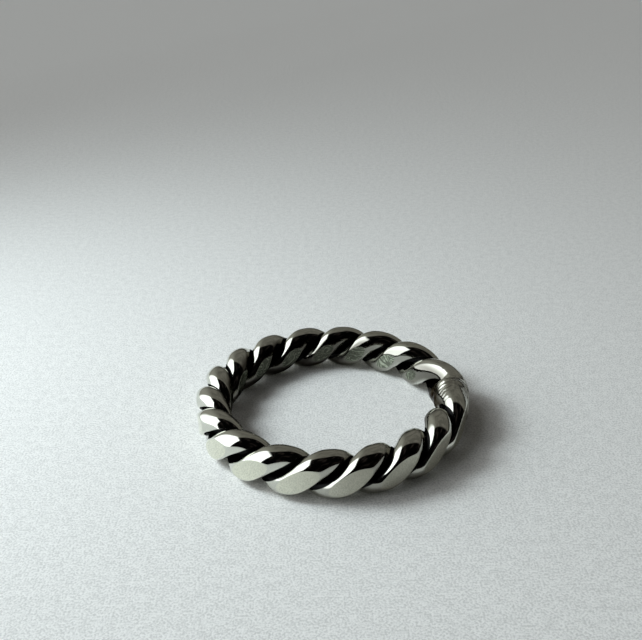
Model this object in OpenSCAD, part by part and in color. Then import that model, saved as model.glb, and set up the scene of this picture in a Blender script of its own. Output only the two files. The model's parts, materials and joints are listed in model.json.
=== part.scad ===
// A rope twist ring. Two round silver wires are twisted to the left, bent round and soldered at one
// seam, so the metal is one solid. The lobes are filed a little flat inside and outside.
// The ring lies on its side: Z runs along the finger, and the floor that it lies on is at z = 0.
// X runs from the middle of the ring to its seam.

/* [Ring] */
// Diameter of the finger hole
finger_d = 17; // [15:0.1:21]
// Lobes around the band, an odd number, so that each wire's end meets the other wire's start
lobes = 17; // [13:2:21]

/* [Wires] */
// Diameter of each wire
wire_d = 2.1; // [2:0.02:2.3]
// How far a wire's middle swings in and out from the band's middle line
swing_out = 0.6; // [0.4:0.02:0.8]
// How far a wire's middle swings up and down
swing_up = 0.88; // [0.8:0.02:0.96]

/* [Twist] */
// Turn of the twist at angle 0 of the ring
twist_start = 135; // [0:1:359]
// How unevenly the twist runs: 0 is even, 1 as wrung by hand
unevenness = 1; // [0:0.05:1.2]

/* [Filed flats] */
// Depth taken off the outer faces of the lobes
outer_flat = 0.33; // [0.1:0.01:0.4]
// Depth taken off the inner faces of the lobes
inner_flat = 0.17; // [0.1:0.01:0.4]
// Roundness of the outer flats' edges
flat_edge = 0.06; // [0.03:0.01:0.15]

/* [Seam] */
// Ring angle of the soldered seam
seam_at = 0; // [-10:1:10]
// Half the width of the solder, in degrees of the ring
solder_reach = 8; // [6:1:14]
// Share of the grooves that the solder fills
solder_fill = 0.85; // [0:0.05:1]
// How far the seam stands out from the round
corner = 0.48; // [0:0.02:0.6]
// Half the width of that corner, in degrees of the ring
corner_reach = 20; // [12:1:30]

/* [Smoothness] */
// Sections in each lobe
lobe_sections = 14; // [8:1:14]
// Sides on each wire's visible face
wire_sides = 13; // [6:1:13]

/* [Hidden] */
wire_r = wire_d / 2;
half_thickness = swing_out + wire_r;
half_width = swing_up + wire_r;
// Radius of the band's middle line
ring_r = finger_d / 2 + half_thickness - inner_flat;
sections = lobes * lobe_sections;
sides = 2 * wire_sides;
// Ring angle of the corner, which is a little past the seam
corner_at = seam_at + 2;
// How far the finger hole's cutter passes the band
over = 1;

// The twist's unevenness, one row for each wave: times round the ring, degrees of twist, place
waves = [[1, 38, 71], [2, 10, 66], [3, 8, 73]];

// A soft hump round an angle of the ring
function hump(t, at, reach) =
    let (away = (t - at + 540) % 360 - 180)
    exp(-pow(away / reach, 2));

// The smaller of two lengths, with the filed edge's roundness where they cross
function filed(v, limit) =
    limit - flat_edge * ln(1 + exp((limit - v) / flat_edge));

// Turn of the wire pair round the band's middle line, in degrees, and its rate
function twist(t) =
    twist_start + lobes * t / 2
    + unevenness * sum([for (w = waves) w[1] * cos(w[0] * t + w[2])]);
function twist_rate(t) =
    lobes / 2
    - unevenness * PI / 180 * sum([for (w = waves) w[0] * w[1] * sin(w[0] * t + w[2])]);
function sum(list) = list * [for (v = list) 1];

// Radius of the band's middle line, with the corner at the seam
function middle_r(t) = ring_r + corner * hump(t, corner_at, corner_reach);

// Middle of one wire in the section at angle t, as [outwards, up] from the band's middle line
function wire_middle(turn) = [swing_out * cos(turn), swing_up * sin(turn)];

// The wire crosses the section aslant, so it shows there as an oval, longer along its way.
// This gives the points of the part of the oval that the other wire doesn't hide.
function wire_face(t, turn) =
    let (
        middle = wire_middle(turn),
        way = [-swing_out * sin(turn), swing_up * cos(turn)],
        along = way / norm(way),
        across = [along[1], -along[0]],
        slope = twist_rate(t) * norm(way) / (middle_r(t) + middle[0]),
        long_r = wire_r * sqrt(1 + slope * slope),
        from_other = [middle * across / wire_r, middle * along / long_r],
        facing = atan2(from_other[1], from_other[0]),
        showing = acos(-norm(from_other))
    )
    [for (j = [0 : wire_sides - 1])
        let (a = facing + showing * (2 * j / wire_sides - 1))
        middle + across * wire_r * cos(a) + along * long_r * sin(a)];

// Solder lifts a point of the section out towards the oval that surrounds both wires
function soldered(p, t) =
    let (
        depth = norm([p[0] / half_thickness, p[1] / half_width]),
        fill = solder_fill * hump(t, seam_at, solder_reach)
    )
    p * (1 + fill * (1 / depth - 1));

// The outer file stops at the flat
function flattened(p) = [filed(p[0], half_thickness - outer_flat), p[1]];

// One closed section of the band at ring angle t
function section(t) = [
    for (half = [0, 1], p = wire_face(t, twist(t) + 180 * half))
        let (q = flattened(soldered(p, t)))
        [(middle_r(t) + q[0]) * cos(t), (middle_r(t) + q[0]) * sin(t), q[1] + half_width]
];

// After one way round, the odd half turn brings each wire to the other's place
function corner_index(i, j) =
    i < sections
    ? i * sides + j % sides
    : (j + wire_sides * (lobes % 2)) % sides;

// The soldered rope, before its inside is filed to the finger's size
module rope() {
    points = [for (i = [0 : sections - 1], p = section(360 * i / sections)) p];
    faces = [
        for (i = [0 : sections - 1], j = [0 : sides - 1], upper = [0, 1])
            let (
                a = corner_index(i, j),
                b = corner_index(i, j + 1),
                c = corner_index(i + 1, j + 1),
                d = corner_index(i + 1, j)
            )
            upper == 1 ? [b, d, c] : [a, d, b]
    ];
    polyhedron(points = points, faces = faces, convexity = 10);
}

module finger_hole() {
    translate([0, 0, -over])
        cylinder(d = finger_d, h = 2 * half_width + 2 * over, $fn = 180);
}

module twisted_band() {
    color("silver")
        difference() {
            rope();
            finger_hole();
        }
}

twisted_band();
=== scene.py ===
import json
import math

import bpy
import numpy as np
from bpy.props import (
    FloatProperty,
    FloatVectorProperty,
    IntProperty,
    PointerProperty,
)
from mathutils import Matrix, Vector, noise


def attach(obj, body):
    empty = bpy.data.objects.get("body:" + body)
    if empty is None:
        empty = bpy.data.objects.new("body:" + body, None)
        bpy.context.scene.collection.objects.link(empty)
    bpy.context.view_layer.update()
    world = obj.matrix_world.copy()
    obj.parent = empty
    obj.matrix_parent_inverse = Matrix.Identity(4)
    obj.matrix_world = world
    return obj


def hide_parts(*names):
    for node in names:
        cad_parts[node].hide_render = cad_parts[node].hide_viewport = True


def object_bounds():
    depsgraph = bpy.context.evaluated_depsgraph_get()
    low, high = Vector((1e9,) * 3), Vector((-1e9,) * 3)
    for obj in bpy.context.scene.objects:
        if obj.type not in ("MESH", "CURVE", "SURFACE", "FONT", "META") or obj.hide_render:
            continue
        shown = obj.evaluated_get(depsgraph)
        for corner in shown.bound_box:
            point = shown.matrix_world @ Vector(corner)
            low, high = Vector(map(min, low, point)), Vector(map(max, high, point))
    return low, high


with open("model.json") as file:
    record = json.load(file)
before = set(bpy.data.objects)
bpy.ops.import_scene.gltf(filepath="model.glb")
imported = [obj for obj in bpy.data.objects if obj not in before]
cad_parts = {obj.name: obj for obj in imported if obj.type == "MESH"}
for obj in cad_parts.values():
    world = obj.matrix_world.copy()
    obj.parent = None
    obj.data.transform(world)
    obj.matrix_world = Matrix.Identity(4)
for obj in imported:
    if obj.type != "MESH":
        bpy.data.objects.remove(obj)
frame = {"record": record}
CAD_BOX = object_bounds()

bl_info = {
    "name": "Rope Twist Ring",
    "version": (1, 0, 0),
    "blender": (4, 5, 0),
    "location": "3D View > Sidebar > Rope Ring",
    "description": "Makes a ring of two twisted silver wires, lying on pale paper",
    "category": "Add Mesh",
}

MM = 0.001

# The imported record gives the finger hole, and the solid's box gives the band's width
FINGER_HOLE = next(m for m in frame["record"]["mounts"] if m["name"] == "finger")
BAND_WIDTH = (CAD_BOX[1] - CAD_BOX[0]).z
WIRE_D = 2.1 * MM

# The twist's unevenness, one row for each wave: times round the ring, turn and place in degrees
TWIST_WAVES = ((1, 38, 71), (2, 10, 66), (3, 8, 73))

# The corner of the band stands this many degrees of the ring past the seam
CORNER_PAST_SEAM = 2

# The mesh's sides crowd together near the flats' edges: places tried round a wire's face to find them,
# how much closer the sides come (0 is not at all), how near that is, and over how many sections it's evened
TRIAL_PLACES = 420
EDGE_CROWD = 3
EDGE_NEAR = 0.16 * MM
EDGE_EVENED = 8
# Seed of the slight waves on the wires
WAVE_SEED = 1
# Where more solder than this fills the grooves, the line between the wires is soft
SOFT_CREASE_FILL = 0.3

# The marks at the seam are in millimetres, and their ring angles in degrees. They're left out where a
# soft hump with this reach falls below this share, because they're too faint to show there
MARKS_REACH = 12
TOO_FAINT = 0.02
# Lumps of melted solder, one row for each kind: size, height and seed
MELTED_LUMPS = ((0.9, 0.035, 3), (0.4, 0.02, 4))
# Size and seed of the bends in the ripples and file lines
BEND_SIZE = 0.7
BEND_SEED = 5
# Soft areas: their middle and their reach as ring angle, place outwards and place up, or the first of
# these where the rest has no bounds
RIPPLED_LIP = ((-1.5, 9.6, 3.45), (9, 0.5, 0.55))
FILED_SHOULDER = ((-6, 11.3), (9, 0.35))
WORKED_TOP = ((-1,), (10,))
# The shoulder's foot, and the heights between which the worked top starts
SHOULDER_FOOT = 2
WORKED_FROM = (1.8, 2.3)
# Ripples: height, gap, slant outwards and bend
RIPPLE_HEIGHT = 0.085
RIPPLE_GAP = 0.48
RIPPLE_SLANT = 0.4
RIPPLE_BEND = 0.35
# File lines: height, gap and bend
FILE_LINE_HEIGHT = 0.012
FILE_LINE_GAP = 0.3
FILE_LINE_BEND = 0.3
# Streaks of the worked top: height, length, width, slant and seed, and the share of them that the file
# took off the shoulder
STREAK_HEIGHT = 0.012
STREAK_LENGTH = 1.6
STREAK_WIDTH = 0.2
STREAK_SLANT = 0.5
STREAK_SEED = 7
FILED_AWAY = 0.7
# Pits, one row for each: ring angle, place outwards and up, reach and depth
SEAM_PITS = (
    (1.3, 10.7, 3.65, 0.16, 0.07),
    (-4.4, 10.1, 3.75, 0.13, 0.05),
    (-9, 11.35, 3.3, 0.14, 0.07),
)

# How squarely the wires' sides face the finger, or face away from it, where darkening starts and is full.
# Inside it is partly real dullness and partly painted shade; outside it is painted shade
DULL_AND_SHADE_INSIDE = (0.52, 0.78)
SHADE_OUTSIDE_FACING = (0.5, 0.85)
# Share of the light that the dark inner side gives back: partly real dullness, partly painted shade. Soft
# patches round the ring, each with its ring angle, reach and height, give back more inside, as painted
# light, and less outside, as painted shade
INSIDE_KEPT = 0.13
PAINTED_LIGHT_INSIDE = ((45, 24, 0.5), (-90, 75, 0.5))
PAINTED_SHADE_OUTSIDE = ((-72, 32, 0.6), (0, 11, 0.5))

# Noise patterns of the silver: scale, detail, roughness and distortion
RAGGED_EDGE = (900.0, 5.0, 0.5, 0.0)
SOFT_LUMPS = (550.0, 1.0, 0.5, 0.8)
STREAKS = (2400.0, 3.0, 0.55, 1.8)
HAIRLINES = (2600.0, 6.0, 0.5, 1.5)
# Soft steps in those patterns: from, to, and what they give before and after
SWIRL_LINE = (-0.2, 1.0)
SWIRL_BREAKS = (0.35, 0.6, 0.2, 1.0)
STAIN_EDGE = (0.40, 0.60, 1.0, 0.0)
# Brightness of the inner flats between the swirls and on them
SWIRL_DARK = 0.7
SWIRL_LIGHT = 2.1
# Where the silver is darker, from dullness, stains and painted shade, its green is its red to this power
DULL_GREEN = 1.04
# Strength and depth of the relief: hairlines, swirls on the inner flats and melted solder
HAIRLINE_RELIEF = (0.02, 0.05 * MM)
SWIRL_RELIEF = (0.5, 0.012 * MM)
MELTED_RELIEF = (0.25, 0.05 * MM)

# The paper's grain and fibres: share of each, how fine the fibres are next to the grain, and the detail
# and roughness of their noise patterns
GRAIN_SHARE = 0.75
FIBRE_SHARE = 0.25
FIBRE_FINENESS = 0.2
GRAIN_PATTERN = (1.0, 0.5)
FIBRE_PATTERN = (2.0, 0.6)
# Where the paper's dark spots end, how dark they are, the strength and depth of its relief, and its finish
SPOT_EDGE = (0.32, 0.64)
SPOT_DARK = 0.72
PAPER_RELIEF = (0.6, 0.04 * MM)
PAPER_ROUGHNESS = 0.9
PAPER_GLOSS = 0.15

# The room that the silver mirrors: blur of its edges, how far left a direction has to point to meet the
# window, and the least that counts as left, which isn't 0 because places in the window are divided by it
EDGE_BLUR = 0.05
WINDOW_BACK_BLUR = 0.25
WINDOW_TOP_BLUR = 0.4
WINDOW_SIDE = -0.1
LEAST_LEFT = 0.001
# Noise pattern of the room's shapes, and soft steps as above: the mottle behind, how the room behind
# brightens with the height, how the window's glow fades, and where the dim shapes in front are
ROOM_SHAPES = (3.5, 2.0, 0.5, 0.6)
ROOM_MOTTLE = (0.35, 0.65)
ROOM_RISE = (0.02, 0.3, 0.15, 1.0)
GLOW_FADE = (-0.55, -0.05, 1.0, 0.0)
DIM_EDGE = (0.52, 0.68)
# Brightness of the mottle's dark and light parts
MOTTLE_DARK = 0.78
MOTTLE_LIGHT = 1.2

# Width of the picture that the camera's focal length is for, in millimetres
PICTURE_WIDTH = 36


class RopeSizes(bpy.types.PropertyGroup):
    """Sizes of the twisted band"""

    finger_d: FloatProperty(
        name="Finger hole", description="Diameter of the finger hole",
        default=2 * FINGER_HOLE["dims"]["r_mm"] * MM, unit="LENGTH", precision=5)
    lobes: IntProperty(
        name="Lobes", description="Lobes around the band, an odd number", default=17, min=13, max=21)
    wire_d: FloatProperty(
        name="Wire", description="Diameter of each wire", default=WIRE_D, unit="LENGTH", precision=5)
    swing_out: FloatProperty(
        name="Swing out", description="How far a wire's middle swings in and out",
        default=0.6 * MM, unit="LENGTH", precision=5)
    swing_up: FloatProperty(
        name="Swing up", description="How far a wire's middle swings up and down",
        default=(BAND_WIDTH - WIRE_D) / 2, unit="LENGTH", precision=5)
    twist_start: FloatProperty(
        name="Twist start", description="Turn of the twist at angle 0 of the ring",
        default=math.radians(135), subtype="ANGLE", unit="ROTATION")
    unevenness: FloatProperty(
        name="Unevenness", description="How unevenly the twist runs", default=1, min=0, max=1.2)
    outer_flat: FloatProperty(
        name="Outer flats", description="Depth taken off the outer faces of the lobes",
        default=0.33 * MM, unit="LENGTH", precision=5)
    inner_flat: FloatProperty(
        name="Inner flats", description="Depth taken off the inner faces of the lobes",
        default=0.17 * MM, unit="LENGTH", precision=5)
    flat_edge: FloatProperty(
        name="Flat edges", description="Roundness of the flats' edges",
        default=0.016 * MM, unit="LENGTH", precision=6)
    seam_at: FloatProperty(
        name="Seam", description="Ring angle of the soldered seam",
        default=math.radians(0), subtype="ANGLE", unit="ROTATION")
    solder_reach: FloatProperty(
        name="Solder reach", description="Half the width of the solder along the ring",
        default=math.radians(8), subtype="ANGLE", unit="ROTATION")
    solder_fill: FloatProperty(
        name="Solder fill", description="Share of the grooves that the solder fills",
        default=0.85, min=0, max=1)
    corner: FloatProperty(
        name="Corner", description="How far the seam stands out from the round",
        default=0.48 * MM, unit="LENGTH", precision=5)
    corner_reach: FloatProperty(
        name="Corner reach", description="Half the width of the corner along the ring",
        default=math.radians(20), subtype="ANGLE", unit="ROTATION")
    wave_length: FloatProperty(
        name="Waves", description="Size of the slight waves that hand work leaves on the wires",
        default=1.1 * MM, unit="LENGTH", precision=5)
    wave_height: FloatProperty(
        name="Wave height", description="Height of these waves",
        default=0.006 * MM, unit="LENGTH", precision=6)
    lobe_sections: IntProperty(
        name="Sections", description="Sections of the mesh in each lobe", default=48)
    face_sides: IntProperty(
        name="Sides", description="Sides of the mesh on each wire's visible face", default=58)


class SilverLook(bpy.types.PropertyGroup):
    """Colours and finish of the silver"""

    bright: FloatVectorProperty(
        name="Silver", description="Colour of the polished silver",
        subtype="COLOR", size=3, default=(0.70, 0.71, 0.64))
    # The outer flats' colour is brighter than the polished silver: this lift is painted reflection of the
    # paper they mirror
    filed: FloatVectorProperty(
        name="Outer flats", description="Colour of the filed flats outside the ring",
        subtype="COLOR", size=3, default=(0.84, 0.85, 0.72))
    worn: FloatVectorProperty(
        name="Inner flats", description="Colour of the dull flats inside the ring",
        subtype="COLOR", size=3, default=(0.50, 0.56, 0.45))
    # The near-black colour down in the grooves is painted shade. The depths, roughness and ragged edge
    # below go with it
    groove_shade: FloatVectorProperty(
        name="Tarnish", description="Colour of the silver down in the grooves",
        subtype="COLOR", size=3, default=(0.01, 0.01, 0.01))
    yellowing: FloatProperty(
        name="Yellowing", description="How much yellower dull silver is: 1 is not at all",
        default=1.06, min=1, max=3)
    groove_shade_from: FloatProperty(
        name="Tarnish from", description="Depth in a groove where the tarnish starts", default=0.33)
    groove_shade_to: FloatProperty(
        name="Tarnish to", description="Depth in a groove from which all is tarnished", default=0.36)
    polish: FloatProperty(
        name="Roughness", description="Roughness of the polished silver", default=0.06, min=0, max=1)
    worn_roughness: FloatProperty(
        name="Inner flats' roughness", description="How much rougher the inner flats are",
        default=0.16, min=0, max=1)
    groove_roughness: FloatProperty(
        name="Tarnish roughness", description="How much rougher the tarnish is", default=0.22, min=0, max=1)
    ragged: FloatProperty(
        name="Ragged edge", description="How ragged the tarnish's edge is", default=0.04, min=0, max=1)
    swirls: FloatProperty(
        name="Swirls", description="Number of the fine swirls that the tool left on the inner flats",
        default=15, min=1)
    stains: FloatProperty(
        name="Stains", description="How dark the stains on the solder are", default=0.42, min=0, max=1)


class PaperStage(bpy.types.PropertyGroup):
    """The paper and its light"""

    paper: FloatVectorProperty(
        name="Paper", description="Colour of the paper",
        subtype="COLOR", size=3, default=(0.84, 0.83, 0.81))
    reach: FloatProperty(
        name="Paper size", description="Length of each side of the paper", default=3.0, unit="LENGTH")
    grain: FloatProperty(
        name="Grain", description="Size of the paper's grain",
        default=0.15 * MM, unit="LENGTH", precision=5)
    window: FloatVectorProperty(
        name="Window light", description="Light of the window at the left",
        size=3, default=(2.05, 2.15, 2.18))
    window_front: FloatProperty(
        name="Window's front end", description="Place of its front end, per unit of its distance",
        default=-0.9)
    window_back: FloatProperty(
        name="Window's back end", description="Place of its back end, per unit of its distance",
        default=0.8)
    window_top: FloatProperty(
        name="Window's top", description="Height of its top, per unit of its distance", default=2.2)
    room_edge: FloatProperty(
        name="Room edge", description="Where the dark front gives way to the room behind", default=0.2)
    room: FloatVectorProperty(
        name="Room", description="Colour of the room behind",
        subtype="COLOR", size=3, default=(0.135, 0.13, 0.115))
    glow: FloatVectorProperty(
        name="Glow", description="Light on the ceiling and walls next to the window",
        subtype="COLOR", size=3, default=(0.30, 0.30, 0.27))
    front: FloatVectorProperty(
        name="Front", description="Colour of the dark front",
        subtype="COLOR", size=3, default=(0.001, 0.001, 0.001))
    dim_shapes: FloatVectorProperty(
        name="Dim shapes", description="Colour of the dim shapes in the dark front",
        subtype="COLOR", size=3, default=(0.020, 0.016, 0.015))
    spread: FloatVectorProperty(
        name="Spread light", description="Even light that the room gives the paper from all sides",
        subtype="COLOR", size=3, default=(0.30, 0.30, 0.29))
    spread_share: FloatProperty(
        name="Share of spread light", description="How much of the paper's light from the room is even",
        default=0.15, min=0, max=1)
    backdrop: FloatVectorProperty(
        name="Backdrop", description="Plain grey that is seen past the paper's edge",
        subtype="COLOR", size=3, default=(0.30, 0.30, 0.295))
    key_watts: FloatProperty(
        name="Near light", description="Power of the soft light at the left", default=0.0575, unit="POWER")
    key_place: FloatVectorProperty(
        name="Near light's place", description="Place of the soft light at the left",
        subtype="TRANSLATION", unit="LENGTH", size=3, precision=4,
        default=(-82 * MM, 4 * MM, 76 * MM))
    key_size: FloatProperty(
        name="Near light's size", description="Diameter of the soft light at the left",
        default=45 * MM, unit="LENGTH", precision=4)
    key_spread: FloatProperty(
        name="Near light's spread", description="Angle into which the soft light at the left shines",
        default=math.radians(140), subtype="ANGLE", unit="ROTATION")
    key_colour: FloatVectorProperty(
        name="Near light's colour", description="Colour of the soft light at the left",
        subtype="COLOR", size=3, default=(0.85, 0.96, 1.0))


class PhotoCamera(bpy.types.PropertyGroup):
    """The camera's place and lens"""

    distance: FloatProperty(
        name="Distance", description="From the ring's middle to the lens",
        default=68.75 * MM, unit="LENGTH", precision=5)
    height_angle: FloatProperty(
        name="Height angle", description="Angle of the lens above the paper, seen from the ring",
        default=math.radians(33.86), subtype="ANGLE", unit="ROTATION")
    turn: FloatProperty(
        name="Turn", description="Turn of the view to the right",
        default=math.radians(-0.59), subtype="ANGLE", unit="ROTATION")
    down: FloatProperty(
        name="Down", description="Tilt of the view below the horizontal",
        default=math.radians(26.60), subtype="ANGLE", unit="ROTATION")
    roll: FloatProperty(
        name="Roll", description="Roll of the camera",
        default=math.radians(-1.53), subtype="ANGLE", unit="ROTATION")
    lens_mm: FloatProperty(
        name="Lens", description="Focal length for a picture 36 mm wide",
        default=44.1, subtype="DISTANCE_CAMERA")
    nearest: FloatProperty(
        name="Nearest", description="Distance from which things are seen", default=1 * MM, unit="LENGTH")
    farthest: FloatProperty(
        name="Farthest", description="Distance up to which things are seen", default=10, unit="LENGTH")


# Shape of the band

def hump(t, at, reach):
    """A soft hump round an angle of the ring."""
    away = (t - at + np.pi) % (2 * np.pi) - np.pi
    return np.exp(-((away / reach) ** 2))


def humps(t, rows):
    """Several soft humps round the ring, one row for each: ring angle and reach in degrees, height."""
    return sum(height * hump(t, math.radians(at), math.radians(reach)) for at, reach, height in rows)


def soft_step(values, low, high):
    """0 up to low, 1 from high on, and evenly in between."""
    return np.clip((values - low) / (high - low), 0, 1)


def soft_area(places, middle, reach):
    """1 in the middle of an area and less away from it. Each way has its places, middle and reach."""
    return np.exp(-sum(((p - m) / r) ** 2 for p, m, r in zip(places, middle, reach)))


def furrows(way, gap, bend):
    """Ups and downs from -1 to 1 along a way, with this gap, bent by a share of it."""
    return np.sin(2 * np.pi * (way / gap + bend))


def filed(length, limit, edge):
    """The smaller of two lengths, with the filed edge's roundness where they cross."""
    return limit - edge * np.logaddexp(0, (limit - length) / edge)


def twist(t, s):
    """Turn of the wire pair round the band's middle line, and its rate."""
    turn = s.twist_start + s.lobes * t / 2
    rate = np.full_like(t, s.lobes / 2)
    for times, depth, place in TWIST_WAVES:
        depth = s.unevenness * math.radians(depth)
        turn = turn + depth * np.cos(times * t + math.radians(place))
        rate = rate - depth * times * np.sin(times * t + math.radians(place))
    return turn, rate


def middle_radius(t, s):
    """Radius of the band's middle line, with the corner at the seam."""
    half_thickness = s.swing_out + s.wire_d / 2
    corner_at = s.seam_at + math.radians(CORNER_PAST_SEAM)
    ring_r = s.finger_d / 2 + half_thickness - s.inner_flat
    return ring_r + s.corner * hump(t, corner_at, s.corner_reach)


class WireOval:
    """One wire's cut through every section of the band: a slanted oval, partly inside the other wire."""

    def __init__(self, s, t, turn, rate, ring_r):
        wire_r = s.wire_d / 2
        self.middle = np.stack([s.swing_out * np.cos(turn), s.swing_up * np.sin(turn)], -1)
        way = np.stack([-s.swing_out * np.sin(turn), s.swing_up * np.cos(turn)], -1)
        speed = np.linalg.norm(way, axis=-1)
        self.along = way / speed[:, None]
        self.across = np.stack([self.along[:, 1], -self.along[:, 0]], -1)
        slope = rate * speed / (ring_r + self.middle[:, 0])
        self.short_r = wire_r
        self.long_r = wire_r * np.sqrt(1 + slope ** 2)
        from_other = np.stack([
            (self.middle * self.across).sum(-1) / self.short_r,
            (self.middle * self.along).sum(-1) / self.long_r], -1)
        self.facing = np.arctan2(from_other[:, 1], from_other[:, 0])
        self.showing = np.arccos(-np.linalg.norm(from_other, axis=-1))

    def angles(self, shares):
        """Angles round the ovals at these shares of the visible face."""
        return self.facing[:, None] + self.showing[:, None] * shares

    def points(self, angles):
        """Points of the ovals, one row of angles for each section, as [outwards, up]."""
        return (
            self.middle[:, None, :]
            + self.across[:, None, :] * (self.short_r * np.cos(angles))[..., None]
            + self.along[:, None, :] * (self.long_r[:, None] * np.sin(angles))[..., None])


def soldered(p, t, s):
    """Solder lifts the grooves towards the oval that surrounds both wires. Also gives the depth."""
    half_thickness = s.swing_out + s.wire_d / 2
    half_width = s.swing_up + s.wire_d / 2
    depth = np.hypot(p[..., 0] / half_thickness, p[..., 1] / half_width)
    fill = s.solder_fill * hump(t, s.seam_at, s.solder_reach)[:, None]
    return p * (1 + fill * (1 / depth - 1))[..., None], depth


def face_shares(oval, t, ring_r, s):
    """Places round each wire's visible face, from -1 to 1, closer together near a filed flat's edge."""
    trial = np.linspace(-1, 1, TRIAL_PLACES)
    p, _ = soldered(oval.points(oval.angles(trial)), t, s)
    to_outer = p[..., 0] - (s.swing_out + s.wire_d / 2 - s.outer_flat)
    to_inner = ring_r[:, None] + p[..., 0] - s.finger_d / 2
    weight = 1 + EDGE_CROWD * sum(np.exp(-((away / EDGE_NEAR) ** 2)) for away in (to_outer, to_inner))
    steps = (weight[:, 1:] + weight[:, :-1]) / 2
    total = np.concatenate([np.zeros((len(t), 1)), np.cumsum(steps, 1)], 1)
    total /= total[:, -1:]
    wanted = np.arange(s.face_sides) / s.face_sides
    return np.stack([np.interp(wanted, row, trial) for row in total])


def evened(rows, reach):
    """Rows averaged with their neighbours. The last row is next to the first."""
    steps = range(-reach, reach + 1)
    weights = [1 - abs(step) / (reach + 1) for step in steps]
    return sum(w * np.roll(rows, step, axis=0) for w, step in zip(weights, steps)) / sum(weights)


def band_grid(s):
    """The band's points, sections by sides, with each point's depth and flats."""
    sections = s.lobes * s.lobe_sections
    t = np.linspace(0, 2 * np.pi, sections, endpoint=False)
    turn, rate = twist(t, s)
    ring_r = middle_radius(t, s)
    outer_limit = s.swing_out + s.wire_d / 2 - s.outer_flat
    ovals = [WireOval(s, t, turn + half * np.pi, rate, ring_r) for half in (0, 1)]
    # Past the seam the first wire goes on as the second, so their rows are evened as one list
    shares = evened(np.concatenate([face_shares(oval, t, ring_r, s) for oval in ovals]), EDGE_EVENED)
    sides, depths, flats_out, flats_in = [], [], [], []
    for oval, share in zip(ovals, np.split(shares, 2)):
        p, depth = soldered(oval.points(oval.angles(share)), t, s)
        out = filed(p[..., 0], outer_limit, s.flat_edge)
        radius = -filed(-(ring_r[:, None] + out), -s.finger_d / 2, s.flat_edge)
        depths.append(depth)
        flats_out.append(p[..., 0] > outer_limit)
        flats_in.append(ring_r[:, None] + out < s.finger_d / 2)
        up = p[..., 1] + s.swing_up + s.wire_d / 2
        sides.append(np.stack([radius * np.cos(t)[:, None], radius * np.sin(t)[:, None], up], -1))
    grid = np.concatenate(sides, 1)
    return grid, t, [np.concatenate(part, 1) for part in (depths, flats_out, flats_in)]


def step_along(grid, step):
    """The grid moved one section on or back. Past the ring's end the two wires change places."""
    swapped = np.roll(grid, grid.shape[1] // 2, axis=1)
    if step > 0:
        return np.concatenate([grid[1:], swapped[:1]], 0)
    return np.concatenate([swapped[-1:], grid[:-1]], 0)


def grid_normals(grid):
    """Outward direction at each point of the grid."""
    along = step_along(grid, 1) - step_along(grid, -1)
    around = np.roll(grid, -1, axis=1) - np.roll(grid, 1, axis=1)
    normal = np.cross(along, around)
    return normal / np.linalg.norm(normal, axis=-1, keepdims=True)


def soft_noise(places, size, seed):
    """Smooth noise from -1 to 1 at each place, with lumps of about this size."""
    shift = Vector((seed, 2 * seed, 3 * seed))
    points = (places.reshape(-1, 3) / size).tolist()
    return np.array([noise.noise(Vector(p) + shift) for p in points]).reshape(places.shape[:2])


def seam_marks(grid, t, fill):
    """How far the solder's marks lift each point near the seam, and where the rippled lip is."""
    near = hump(t, 0, math.radians(MARKS_REACH)) > TOO_FAINT
    part = grid[near]
    angle = np.degrees((t[near] + np.pi) % (2 * np.pi) - np.pi)[:, None]
    out = np.hypot(part[..., 0], part[..., 1]) / MM
    up = part[..., 2] / MM
    along = np.radians(angle) * out
    melted = sum(height * soft_noise(part, size * MM, seed) for size, height, seed in MELTED_LUMPS)
    bend = soft_noise(part, BEND_SIZE * MM, BEND_SEED)
    lip = soft_area((angle, out, up), *RIPPLED_LIP)
    ripples = lip * furrows(along - RIPPLE_SLANT * out, RIPPLE_GAP, RIPPLE_BEND * bend)
    shoulder = soft_area((angle, out), *FILED_SHOULDER) * (up > SHOULDER_FOOT)
    lines = shoulder * furrows(out - up, FILE_LINE_GAP, FILE_LINE_BEND * bend)
    worked = soft_area((angle,), *WORKED_TOP) * soft_step(up, *WORKED_FROM)
    drawn_out = np.stack([
        along / STREAK_LENGTH, out / STREAK_WIDTH + along * STREAK_SLANT, up / STREAK_WIDTH], -1)
    streaks = worked * (1 - lip) * (1 - FILED_AWAY * shoulder) * soft_noise(drawn_out, 1, STREAK_SEED)
    pits = sum(
        depth * soft_area((along - math.radians(at) * out, out, up), (0, pit_out, pit_up), (reach,) * 3)
        for at, pit_out, pit_up, reach, depth in SEAM_PITS)
    heights = (
        melted * fill[near][:, None] + RIPPLE_HEIGHT * ripples + FILE_LINE_HEIGHT * lines
        + STREAK_HEIGHT * streaks - pits)
    lift, rippled = np.zeros(grid.shape[:2]), np.zeros(grid.shape[:2])
    lift[near] = heights * MM
    rippled[near] = lip
    return lift, rippled


def shine_and_shade(normals, t, rippled):
    """Share of the light that the silver gives back: less on sides that face the finger, partly real
    dullness and partly painted shade, and less on some outer sides as painted shade.
    """
    radial = np.stack([np.cos(t), np.sin(t), np.zeros_like(t)], -1)[:, None, :]
    outward = (normals * radial).sum(-1)
    kept = (INSIDE_KEPT + humps(t, PAINTED_LIGHT_INSIDE))[:, None]
    inside = 1 - soft_step(-outward, *DULL_AND_SHADE_INSIDE) * (1 - kept) * (1 - rippled)
    # The darkening of the outer sides is painted shade
    outside = 1 - soft_step(outward, *SHADE_OUTSIDE_FACING) * humps(t, PAINTED_SHADE_OUTSIDE)[:, None]
    return inside * outside


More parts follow.
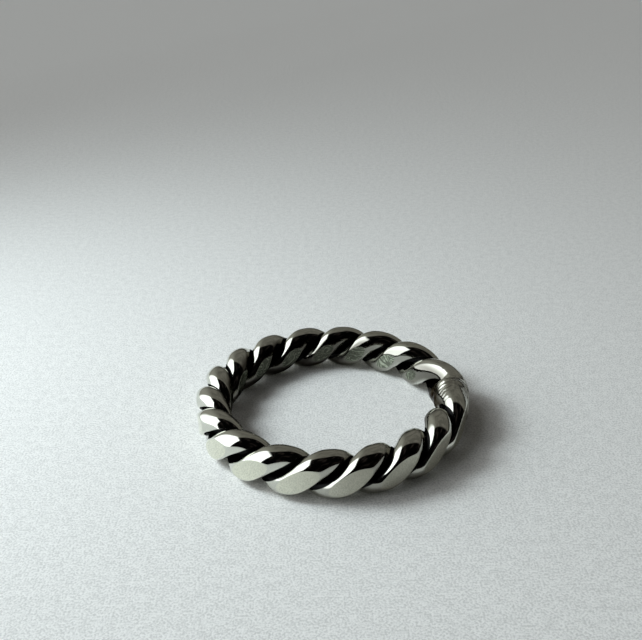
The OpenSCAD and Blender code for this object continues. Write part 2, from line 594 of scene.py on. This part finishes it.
def band_mesh(s):
    """The twisted band as one closed mesh, with attributes for its material."""
    grid, t, (depth, flat_out, flat_in) = band_grid(s)
    sections, sides = grid.shape[:2]
    fill = s.solder_fill * hump(t, s.seam_at, s.solder_reach)
    seam_lift, rippled = seam_marks(grid, t, fill)
    waves = s.wave_height * soft_noise(grid, s.wave_length, WAVE_SEED)
    lift = seam_lift + waves * (1 - flat_in)
    normals = grid_normals(grid)
    grid = grid + normals * lift[..., None]
    index = np.arange(sections * sides).reshape(sections, sides)
    following = step_along(index, 1)
    quads = np.stack([
        index, following, np.roll(following, -1, axis=1), np.roll(index, -1, axis=1)], -1).reshape(-1, 4)
    mesh = bpy.data.meshes.new("twisted_band_finish")
    mesh.from_pydata(grid.reshape(-1, 3).tolist(), [], quads.tolist())
    layers = {
        "groove": (1 - depth) * (1 - fill[:, None]),
        "outer_flat": flat_out.astype(float),
        "inner_flat": flat_in.astype(float),
        "solder": fill[:, None] * (1 - rippled),
        "shine_and_shade": shine_and_shade(normals, t, rippled),
    }
    for name, values in layers.items():
        attribute = mesh.attributes.new(name, "FLOAT", "POINT")
        attribute.data.foreach_set("value", values.astype(np.float32).ravel())
    mesh.shade_smooth()
    mark_creases(mesh, sides, fill)
    mesh.update()
    return mesh


def mark_creases(mesh, sides, fill):
    """The lines where the two wires meet stay sharp, except under the solder."""
    ends = np.zeros(len(mesh.edges) * 2, np.int32)
    mesh.edges.foreach_get("vertices", ends)
    ends = ends.reshape(-1, 2)
    on_crease = (ends % sides) % (sides // 2) == 0
    open_groove = fill[ends[:, 0] // sides] < SOFT_CREASE_FILL
    sharp = on_crease.all(1) & open_groove
    attribute = mesh.attributes.new("sharp_edge", "BOOLEAN", "EDGE")
    attribute.data.foreach_set("value", sharp)


# Materials

def add_node(tree, kind, inputs=None, **settings):
    """A new node with its settings, and its inputs given as numbers or as outputs of other nodes."""
    node = tree.nodes.new(kind)
    for name, value in settings.items():
        setattr(node, name, value)
    for name, value in (inputs or {}).items():
        if isinstance(value, bpy.types.NodeSocket):
            tree.links.new(value, node.inputs[name])
        else:
            node.inputs[name].default_value = value
    return node


def add_math(tree, operation, first, second=0.0, clamp=False):
    """The output of a Math node."""
    inputs = {0: first, 1: second}
    return add_node(tree, "ShaderNodeMath", inputs, operation=operation, use_clamp=clamp).outputs[0]


def add_ramp(tree, value, low, high, to_low=0.0, to_high=1.0):
    """A soft step: to_low below low, to_high above high."""
    inputs = {"Value": value, "From Min": low, "From Max": high, "To Min": to_low, "To Max": to_high}
    return add_node(tree, "ShaderNodeMapRange", inputs, interpolation_type="SMOOTHSTEP").outputs["Result"]


def add_edge(tree, value, place, blur, before=0.0, after=1.0):
    """A soft step round one place."""
    return add_ramp(tree, value, place - blur, place + blur, before, after)


def add_mix(tree, factor, first, second, blend_type="MIX"):
    """The mix of two colours, each given as three numbers or as an output of another node."""
    first, second = (
        colour if isinstance(colour, bpy.types.NodeSocket) else (*colour, 1.0)
        for colour in (first, second))
    # The Mix node has sockets for numbers, vectors and colours: 0 is its factor, 6 and 7 its colours
    inputs = {0: factor, 6: first, 7: second}
    return add_node(tree, "ShaderNodeMix", inputs, data_type="RGBA", blend_type=blend_type).outputs[2]


def add_noise(tree, place, scale, detail, roughness=0.5, distortion=0.0):
    """The output of a Noise texture."""
    inputs = {
        "Vector": place, "Scale": scale, "Detail": detail, "Roughness": roughness, "Distortion": distortion}
    return add_node(tree, "ShaderNodeTexNoise", inputs).outputs["Fac"]


def add_bump(tree, height, strength, depth, beneath=None):
    """The normal of a surface with this relief, over the relief beneath it."""
    inputs = {"Strength": strength, "Distance": depth, "Height": height}
    if beneath is not None:
        inputs["Normal"] = beneath
    return add_node(tree, "ShaderNodeBump", inputs).outputs["Normal"]


def scaled(colour, factor):
    """A colour made darker or lighter."""
    return tuple(factor * part for part in colour)


def new_material(name):
    """A material with only a Principled shader, and its node tree and shader."""
    material = bpy.data.materials.new(name)
    material.use_nodes = True
    tree = material.node_tree
    tree.nodes.clear()
    shader = tree.nodes.new("ShaderNodeBsdfPrincipled")
    output = tree.nodes.new("ShaderNodeOutputMaterial")
    tree.links.new(shader.outputs["BSDF"], output.inputs["Surface"])
    return material, tree, shader


def silver_material(look):
    """Polished silver with hairlines, filed flats and stained solder, with painted shade in the grooves and
    on some sides, and a painted lift of the outer flats' reflection.
    """
    material, tree, shader = new_material("twisted_silver")
    place = tree.nodes.new("ShaderNodeTexCoord").outputs["Object"]
    groove, outer, inner, solder, shine_here = (
        add_node(tree, "ShaderNodeAttribute", attribute_name=name).outputs["Fac"]
        for name in ("groove", "outer_flat", "inner_flat", "solder", "shine_and_shade"))
    streaks = add_noise(tree, place, *STREAKS)

    # The painted shade down in the grooves has a ragged edge
    ragged = add_math(tree, "MULTIPLY", add_noise(tree, place, *RAGGED_EDGE), look.ragged)
    groove_shaded = add_ramp(tree, add_math(tree, "ADD", groove, ragged), look.groove_shade_from, look.groove_shade_to)

    # The swirls on the inner flats are contour lines of soft lumps, broken by the streaks
    lumps = add_noise(tree, place, *SOFT_LUMPS)
    swirl = add_math(tree, "SINE", add_math(tree, "MULTIPLY", lumps, 2 * math.pi * look.swirls))
    tool_marks = add_math(
        tree, "MULTIPLY", add_ramp(tree, swirl, *SWIRL_LINE), add_ramp(tree, streaks, *SWIRL_BREAKS))
    worn = add_mix(tree, tool_marks, scaled(look.worn, SWIRL_DARK), scaled(look.worn, SWIRL_LIGHT))
    # The outer flats take the brighter filed colour, whose lift is painted reflection
    outside = add_mix(tree, outer, tuple(look.bright), tuple(look.filed))
    clean = add_mix(tree, inner, outside, worn)

    # Dull and stained silver, and silver under painted shade, gives back less light, and less blue than red
    stains = add_math(tree, "MULTIPLY", add_ramp(tree, streaks, *STAIN_EDGE), look.stains)
    stained = add_math(tree, "MULTIPLY", solder, stains)
    shine_left = add_math(tree, "MULTIPLY", shine_here, add_math(tree, "SUBTRACT", 1.0, stained))
    shade = add_node(tree, "ShaderNodeCombineColor", {
        "Red": shine_left, "Green": add_math(tree, "POWER", shine_left, DULL_GREEN),
        "Blue": add_math(tree, "POWER", shine_left, look.yellowing)}).outputs["Color"]
    face = add_mix(tree, 1.0, clean, shade, blend_type="MULTIPLY")
    # Deep in the grooves the base colour and tint turn near black: painted shade
    tree.links.new(add_mix(tree, groove_shaded, face, tuple(look.groove_shade)), shader.inputs["Base Color"])
    tree.links.new(add_mix(tree, groove_shaded, shade, tuple(look.groove_shade)), shader.inputs["Specular Tint"])
    shader.inputs["Metallic"].default_value = 1.0

    in_grooves = add_math(tree, "MULTIPLY", groove_shaded, look.groove_roughness)
    on_flats = add_math(tree, "MULTIPLY", inner, look.worn_roughness)
    rough = add_math(tree, "ADD", add_math(tree, "ADD", in_grooves, look.polish), on_flats)
    tree.links.new(rough, shader.inputs["Roughness"])

    relief = add_bump(tree, add_noise(tree, place, *HAIRLINES), *HAIRLINE_RELIEF)
    reliefs = ((swirl, inner, SWIRL_RELIEF), (streaks, solder, MELTED_RELIEF))
    for height, where, (strength, depth) in reliefs:
        relief = add_bump(tree, height, add_math(tree, "MULTIPLY", where, strength), depth, relief)
    tree.links.new(relief, shader.inputs["Normal"])
    return material


def paper_material(stage):
    """Matt white paper with a fine grain."""
    material, tree, shader = new_material("pale_paper")
    place = tree.nodes.new("ShaderNodeTexCoord").outputs["Object"]
    grain = add_noise(tree, place, 1 / stage.grain, *GRAIN_PATTERN)
    fibres = add_noise(tree, place, FIBRE_FINENESS / stage.grain, *FIBRE_PATTERN)
    mottle = add_math(
        tree, "ADD",
        add_math(tree, "MULTIPLY", grain, GRAIN_SHARE), add_math(tree, "MULTIPLY", fibres, FIBRE_SHARE))
    spots = add_ramp(tree, mottle, *SPOT_EDGE)
    colour = add_mix(tree, spots, scaled(stage.paper, SPOT_DARK), tuple(stage.paper))
    tree.links.new(colour, shader.inputs["Base Color"])
    shader.inputs["Roughness"].default_value = PAPER_ROUGHNESS
    shader.inputs["Specular IOR Level"].default_value = PAPER_GLOSS
    tree.links.new(add_bump(tree, mottle, *PAPER_RELIEF), shader.inputs["Normal"])
    return material


def window_shape(tree, stage, x, y, z):
    """1 in the directions of the window at the left, with soft edges, and 0 elsewhere."""
    left = add_math(tree, "MAXIMUM", add_math(tree, "MULTIPLY", x, -1.0), LEAST_LEFT)
    across = add_math(tree, "DIVIDE", y, left)
    height = add_math(tree, "DIVIDE", z, left)
    window = add_edge(tree, across, stage.window_front, EDGE_BLUR)
    far_edges = (
        (across, stage.window_back, WINDOW_BACK_BLUR),
        (height, stage.window_top, WINDOW_TOP_BLUR),
        (x, WINDOW_SIDE, EDGE_BLUR))
    for value, end, blur in far_edges:
        window = add_math(tree, "MULTIPLY", window, add_edge(tree, value, end, blur, 1.0, 0.0))
    return window


def room_colour(tree, stage, way, x, y, z):
    """The room behind, with the glow next to the window, and the dark front with its dim shapes."""
    shapes = add_noise(tree, way, *ROOM_SHAPES)
    behind = add_edge(tree, y, stage.room_edge, EDGE_BLUR)
    mottled = add_mix(
        tree, add_ramp(tree, shapes, *ROOM_MOTTLE),
        scaled(stage.room, MOTTLE_DARK), scaled(stage.room, MOTTLE_LIGHT))
    lit = add_math(tree, "MULTIPLY", behind, add_ramp(tree, z, *ROOM_RISE))
    room = add_mix(tree, lit, tuple(stage.front), mottled)
    glowing = add_math(tree, "MULTIPLY", behind, add_ramp(tree, x, *GLOW_FADE))
    room = add_mix(tree, glowing, room, tuple(stage.glow))
    dim = add_math(tree, "SUBTRACT", add_ramp(tree, shapes, *DIM_EDGE), behind, clamp=True)
    return add_mix(tree, dim, room, tuple(stage.dim_shapes))


def studio_world(stage):
    """A dim room: a tall bright window at the left, brown-grey behind, dark in front."""
    world = bpy.data.worlds.new("dim_studio")
    bpy.context.scene.world = world
    world.use_nodes = True
    tree = world.node_tree
    tree.nodes.clear()
    way = tree.nodes.new("ShaderNodeTexCoord").outputs["Generated"]
    x, y, z = add_node(tree, "ShaderNodeSeparateXYZ", {"Vector": way}).outputs
    room = room_colour(tree, stage, way, x, y, z)
    light = add_mix(tree, window_shape(tree, stage, x, y, z), room, tuple(stage.window))
    ray = tree.nodes.new("ShaderNodeLightPath")
    even = add_math(tree, "MULTIPLY", ray.outputs["Is Diffuse Ray"], stage.spread_share)
    light = add_mix(tree, even, light, tuple(stage.spread))
    shown = add_mix(tree, ray.outputs["Is Camera Ray"], light, tuple(stage.backdrop))
    background = add_node(tree, "ShaderNodeBackground", {"Color": shown})
    output = tree.nodes.new("ShaderNodeOutputWorld")
    tree.links.new(background.outputs["Background"], output.inputs["Surface"])


def near_light(stage):
    """The soft light at the left, which lights the paper and doesn't show in the silver."""
    light = bpy.data.lights.new("soft_light", "AREA")
    light.shape = "DISK"
    light.size = stage.key_size
    light.spread = stage.key_spread
    light.energy = stage.key_watts
    light.color = stage.key_colour
    lamp = bpy.data.objects.new("soft_light", light)
    lamp.location = stage.key_place
    lamp.rotation_mode = "QUATERNION"
    lamp.rotation_quaternion = (-lamp.location).to_track_quat("-Z", "Y")
    lamp.visible_glossy = False
    lamp.visible_camera = False
    return lamp


# Operators

class ROPE_RING_OT_twisted_band(bpy.types.Operator):
    """Make the band of two twisted wires"""

    bl_idname = "rope_ring.twisted_band"
    bl_label = "Twisted Band"

    def execute(self, context):
        sizes = context.scene.rope_ring_sizes
        if sizes.lobes % 2 == 0:
            raise ValueError("lobes has to be odd, so that each wire's end meets the other wire's start")
        band = bpy.data.objects.new("twisted_band_finish", band_mesh(sizes))
        context.scene.collection.objects.link(band)
        band.data.materials.append(silver_material(context.scene.rope_ring_silver))
        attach(band, "root")
        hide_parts("twisted_band")
        return {"FINISHED"}


class ROPE_RING_OT_paper_stage(bpy.types.Operator):
    """Make the paper that the ring lies on, and the light"""

    bl_idname = "rope_ring.paper_stage"
    bl_label = "Paper Stage"

    def execute(self, context):
        stage = context.scene.rope_ring_stage
        half = stage.reach / 2
        corners = [(-half, -half, 0), (half, -half, 0), (half, half, 0), (-half, half, 0)]
        mesh = bpy.data.meshes.new("paper")
        mesh.from_pydata(corners, [], [(0, 1, 2, 3)])
        paper = bpy.data.objects.new("paper", mesh)
        context.scene.collection.objects.link(paper)
        paper.data.materials.append(paper_material(stage))
        studio_world(stage)
        context.scene.collection.objects.link(near_light(stage))
        context.scene.view_settings.view_transform = "Standard"
        return {"FINISHED"}


class ROPE_RING_OT_photo_camera(bpy.types.Operator):
    """Place the camera as the photo shows the ring"""

    bl_idname = "rope_ring.photo_camera"
    bl_label = "Photo Camera"

    def execute(self, context):
        view = context.scene.rope_ring_camera
        lens = bpy.data.cameras.new("photo_camera")
        lens.sensor_width = PICTURE_WIDTH
        lens.lens = view.lens_mm
        lens.clip_start = view.nearest
        lens.clip_end = view.farthest
        camera = bpy.data.objects.new("photo_camera", lens)
        context.scene.collection.objects.link(camera)
        flat, rise = math.cos(view.down), math.sin(view.down)
        ahead = Vector((math.sin(view.turn) * flat, math.cos(view.turn) * flat, -rise))
        right = ahead.cross(Vector((0, 0, 1))).normalized()
        up = right.cross(ahead)
        right, up = (
            right * math.cos(view.roll) + up * math.sin(view.roll),
            up * math.cos(view.roll) - right * math.sin(view.roll))
        place = Vector((0, -math.cos(view.height_angle), math.sin(view.height_angle))) * view.distance
        camera.matrix_world = Matrix((
            (right.x, up.x, -ahead.x, place.x),
            (right.y, up.y, -ahead.y, place.y),
            (right.z, up.z, -ahead.z, place.z),
            (0, 0, 0, 1)))
        context.scene.camera = camera
        return {"FINISHED"}


class ROPE_RING_PT_panel(bpy.types.Panel):
    """The ring's sizes, looks and pieces"""

    bl_idname = "ROPE_RING_PT_panel"
    bl_label = "Rope Twist Ring"
    bl_space_type = "VIEW_3D"
    bl_region_type = "UI"
    bl_category = "Rope Ring"

    def draw(self, context):
        for pointer, group, operators in PANEL_ROWS:
            box = self.layout.box()
            settings = getattr(context.scene, pointer)
            for name in group.__annotations__:
                box.prop(settings, name)
            for operator in operators:
                box.operator(operator.bl_idname)


# Each group of settings on the scene, with the operators that use it
PANEL_ROWS = (
    ("rope_ring_sizes", RopeSizes, (ROPE_RING_OT_twisted_band,)),
    ("rope_ring_silver", SilverLook, ()),
    ("rope_ring_stage", PaperStage, (ROPE_RING_OT_paper_stage,)),
    ("rope_ring_camera", PhotoCamera, (ROPE_RING_OT_photo_camera,)),
)


def register():
    for pointer, group, operators in PANEL_ROWS:
        bpy.utils.register_class(group)
        setattr(bpy.types.Scene, pointer, PointerProperty(type=group))
        for operator in operators:
            bpy.utils.register_class(operator)
    bpy.utils.register_class(ROPE_RING_PT_panel)


def unregister():
    bpy.utils.unregister_class(ROPE_RING_PT_panel)
    for pointer, group, operators in reversed(PANEL_ROWS):
        for operator in operators:
            bpy.utils.unregister_class(operator)
        delattr(bpy.types.Scene, pointer)
        bpy.utils.unregister_class(group)


def main():
    register()
    bpy.ops.rope_ring.photo_camera()
    bpy.ops.rope_ring.twisted_band()
    bpy.ops.rope_ring.paper_stage()


if __name__ == "__main__":
    main()
